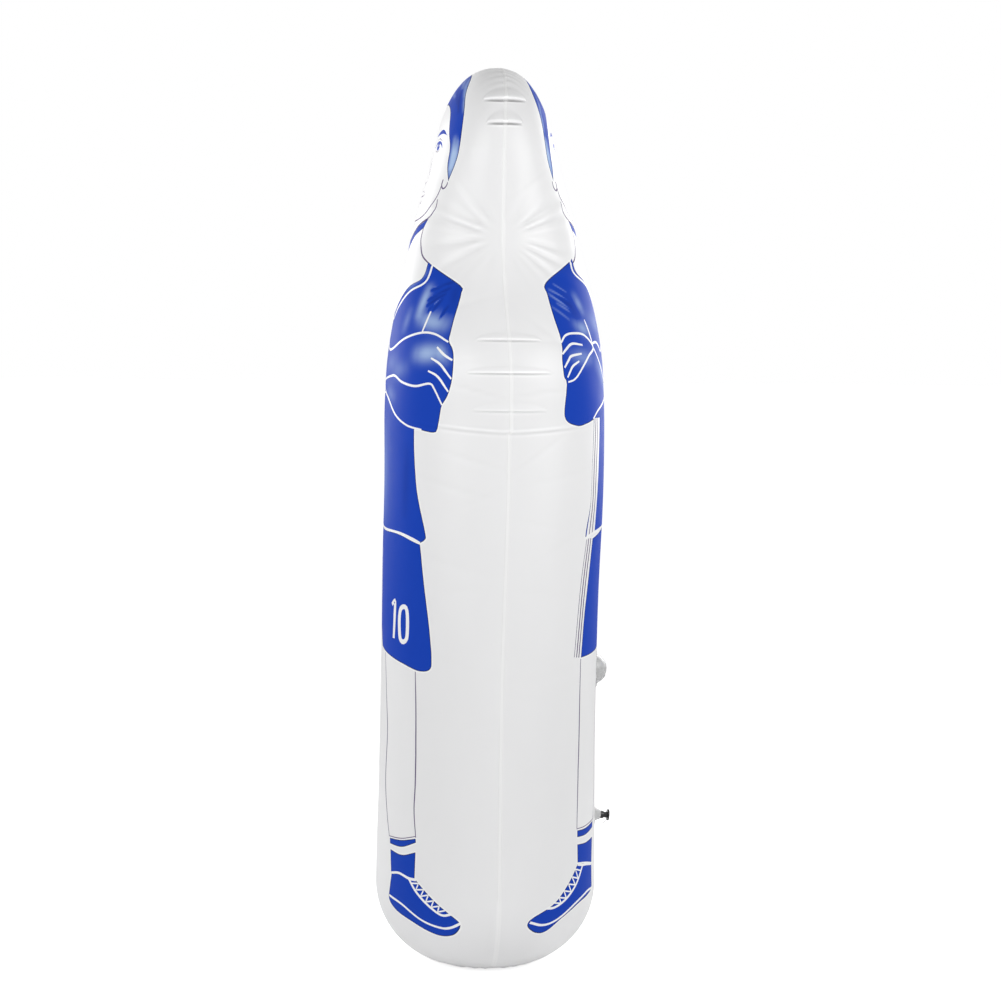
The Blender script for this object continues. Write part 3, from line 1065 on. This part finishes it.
# Valves: soft clear vinyl, moulded in one piece with a wide flange that is welded to the panel.
# The big air valve's dome droops and ends in a flat mouth; the water filler is a milky cone.
def clear_vinyl(name, colour, roughness, milk=0.0):
    """Soft clear vinyl: transmission with a slightly wavy skin, and some milkiness."""
    material = bpy.data.materials.new(name)
    material.use_nodes = True
    nodes, links = material.node_tree.nodes, material.node_tree.links
    shader = nodes["Principled BSDF"]
    shader.inputs["Transmission Weight"].default_value = 1.0 - milk
    shader.inputs["IOR"].default_value = 1.45
    film = nodes.new("ShaderNodeGroup")
    film.node_tree = VINYL_FILM
    film.inputs["Color"].default_value = (*colour, 1.0)
    film.inputs["Gloss"].default_value = roughness
    film.inputs["Waves"].default_value = 0.10
    links.new(film.outputs["Color"], shader.inputs["Base Color"])
    links.new(film.outputs["Roughness"], shader.inputs["Roughness"])
    links.new(film.outputs["Normal"], shader.inputs["Normal"])
    return material


valve_clear = clear_vinyl("valve_clear", (0.97, 0.975, 0.975), 0.04, milk=0.45)
valve_milky = clear_vinyl("valve_milky", (0.97, 0.975, 0.975), 0.10, milk=0.6)
cap_clear = clear_vinyl("cap_clear", (0.80, 0.82, 0.82), 0.05, milk=0.2)
stopper_black = vinyl("stopper_black", (0.010, 0.010, 0.011), gloss=0.06, waves=0.05, shine=0.5)
for node, finish in [("air_valve_body", valve_clear), ("air_valve_cap", cap_clear),
                     ("water_valve_body", valve_milky), ("water_bag_collar", valve_milky),
                     ("water_plug", stopper_black)]:
    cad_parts[node].data.materials.clear()
    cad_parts[node].data.materials.append(finish)

# Check flap: a thin soft disc behind the air valve's orifice, on a short tab.  The tab's top edge
# is cut at a slant, so that it clears its root as the air pushes the flap open.
FLAP_RADIUS = 0.0105
FLAP_TAB_HALF = 0.0045
FLAP_TOP = 0.0135
FLAP_BACK = 0.19476
FLAP_THICKNESS = 0.0008
FLAP_SLANT = 0.0003
FLAP_CENTRE_Z = 0.5285


def make_flap():
    """A plate with one outline on both faces, the disc and its tab, where the back face's top
    edge is lower by the slant."""
    start = asin(FLAP_TAB_HALF / FLAP_RADIUS)
    turn = np.linspace(start, 2 * pi - start, 64)
    tab_x = np.linspace(-FLAP_TAB_HALF, FLAP_TAB_HALF, 5)
    x = np.concatenate((FLAP_RADIUS * np.sin(turn), tab_x))
    z = np.concatenate((FLAP_RADIUS * np.cos(turn), np.full(len(tab_x), FLAP_TOP)))
    back_z = z - np.where(z > FLAP_TOP - 1e-6, FLAP_SLANT, 0.0)
    front = np.stack((x, np.full(len(x), FLAP_BACK + FLAP_THICKNESS), FLAP_CENTRE_Z + z), axis=1)
    back = np.stack((x, np.full(len(x), FLAP_BACK), FLAP_CENTRE_Z + back_z), axis=1)
    count = len(x)
    index = np.arange(count)
    sides = np.stack((index, np.roll(index, -1), np.roll(index, -1) + count, index + count), axis=1)
    faces = [index.tolist(), index[::-1].tolist()]
    faces[1] = [i + count for i in faces[1]]
    mesh = bpy.data.meshes.new("check_flap_disc")
    mesh.from_pydata(np.concatenate((front, back)).tolist(), [], faces + sides[:, ::-1].tolist())
    piece = bpy.data.objects.new("check_flap_disc", mesh)
    bpy.context.scene.collection.objects.link(piece)
    return piece


flap = make_flap()
flap.data.materials.append(valve_clear)
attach(flap, "check_flap")
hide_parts("air_valve_flap")

# Tethers: thin flat strips of the same clear vinyl that keep the cap and the stopper with the
# mannequin.  Each is welded to its valve at one end and is stretched when the cap is pulled.
AIR_VALVE_Z = 0.5285
AIR_DOME_SINK = 0.0055
AIR_DOME_DROP = 0.0010
AIR_MOUTH_TILT = radians(45.0)
AIR_SEAT = 0.0246
AIR_CAP_TOP = 0.0014
AIR_TAB_END = 0.0138
AIR_STRAP_DROP = 0.0052
WATER_VALVE_Z = 0.258
WATER_TILT = radians(5.0)
WATER_STRAP_OUT = (0.0105, 0.0135, 0.0185, 0.0225, 0.0246)
WATER_STRAP_DOWN = (0.0087, 0.0122, 0.0150, 0.0136, 0.0098)
STRAP_HALF_WIDTH = 0.0024
STRAP_HALF_THICKNESS = 0.0005


def panel_back(z):
    """Where the back panel's middle lies at a height."""
    half_width, half_depth, middle, height = section(film_from_height(np.array(z)))
    return float(half_depth + middle)


def make_tether(name, spots):
    """A flat strip along a smooth line in the plane x = 0: a rounded flat section carried along
    the line, at right angles to it, with both ends drawn in to a rounded tip."""
    line = drawn_curve([(y * 1000, z * 1000) for y, z in spots], step=0.3) / 1000
    ahead = np.gradient(line, axis=0)
    ahead /= np.linalg.norm(ahead, axis=1, keepdims=True)
    turn = np.linspace(0, 2 * pi, 16, endpoint=False)
    across = STRAP_HALF_WIDTH * np.sign(np.cos(turn)) * np.abs(np.cos(turn)) ** 0.5
    thick = STRAP_HALF_THICKNESS * np.sign(np.sin(turn)) * np.abs(np.sin(turn)) ** 0.8
    share = np.linspace(-1, 1, len(line))[:, None]
    tip = np.sqrt(np.clip(1 - np.abs(share) ** 24, 0.0, 1.0))
    x = across[None, :] * tip
    y = line[:, :1] - ahead[:, 1:] * thick[None, :] * tip
    z = line[:, 1:] + ahead[:, :1] * thick[None, :] * tip
    return grid_mesh(name, np.stack((x, y, z), axis=-1), closed_across=True)


mouth_y = panel_back(AIR_VALVE_Z) - AIR_DOME_SINK + (AIR_SEAT + AIR_CAP_TOP) * cos(AIR_MOUTH_TILT)
mouth_z = AIR_VALVE_Z - AIR_DOME_DROP - (AIR_SEAT + AIR_CAP_TOP) * sin(AIR_MOUTH_TILT)
tab_y = mouth_y - AIR_TAB_END * sin(AIR_MOUTH_TILT)
tab_z = mouth_z - AIR_TAB_END * cos(AIR_MOUTH_TILT)
air_foot_z = tab_z - AIR_STRAP_DROP
air_strap = make_tether("air_cap_tether", [
    (panel_back(air_foot_z) + 0.0009, air_foot_z),
    (panel_back(air_foot_z) + 0.0031, air_foot_z - 0.0004),
    (tab_y + 0.0016, tab_z - 0.0024),
    (tab_y, tab_z),
])
air_strap.data.materials.append(valve_clear)
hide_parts("air_valve_strap")
panel_back(air_foot_z) + 0.0009
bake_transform(air_strap)

water_spots = [
    (panel_back(WATER_VALVE_Z) + out * cos(WATER_TILT) - down * sin(WATER_TILT),
     WATER_VALVE_Z - out * sin(WATER_TILT) - down * cos(WATER_TILT))
    for out, down in zip(WATER_STRAP_OUT, WATER_STRAP_DOWN)
]
water_strap = make_tether("stopper_tether", water_spots)
water_strap.data.materials.append(valve_clear)
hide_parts("water_plug_strap")
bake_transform(water_strap)
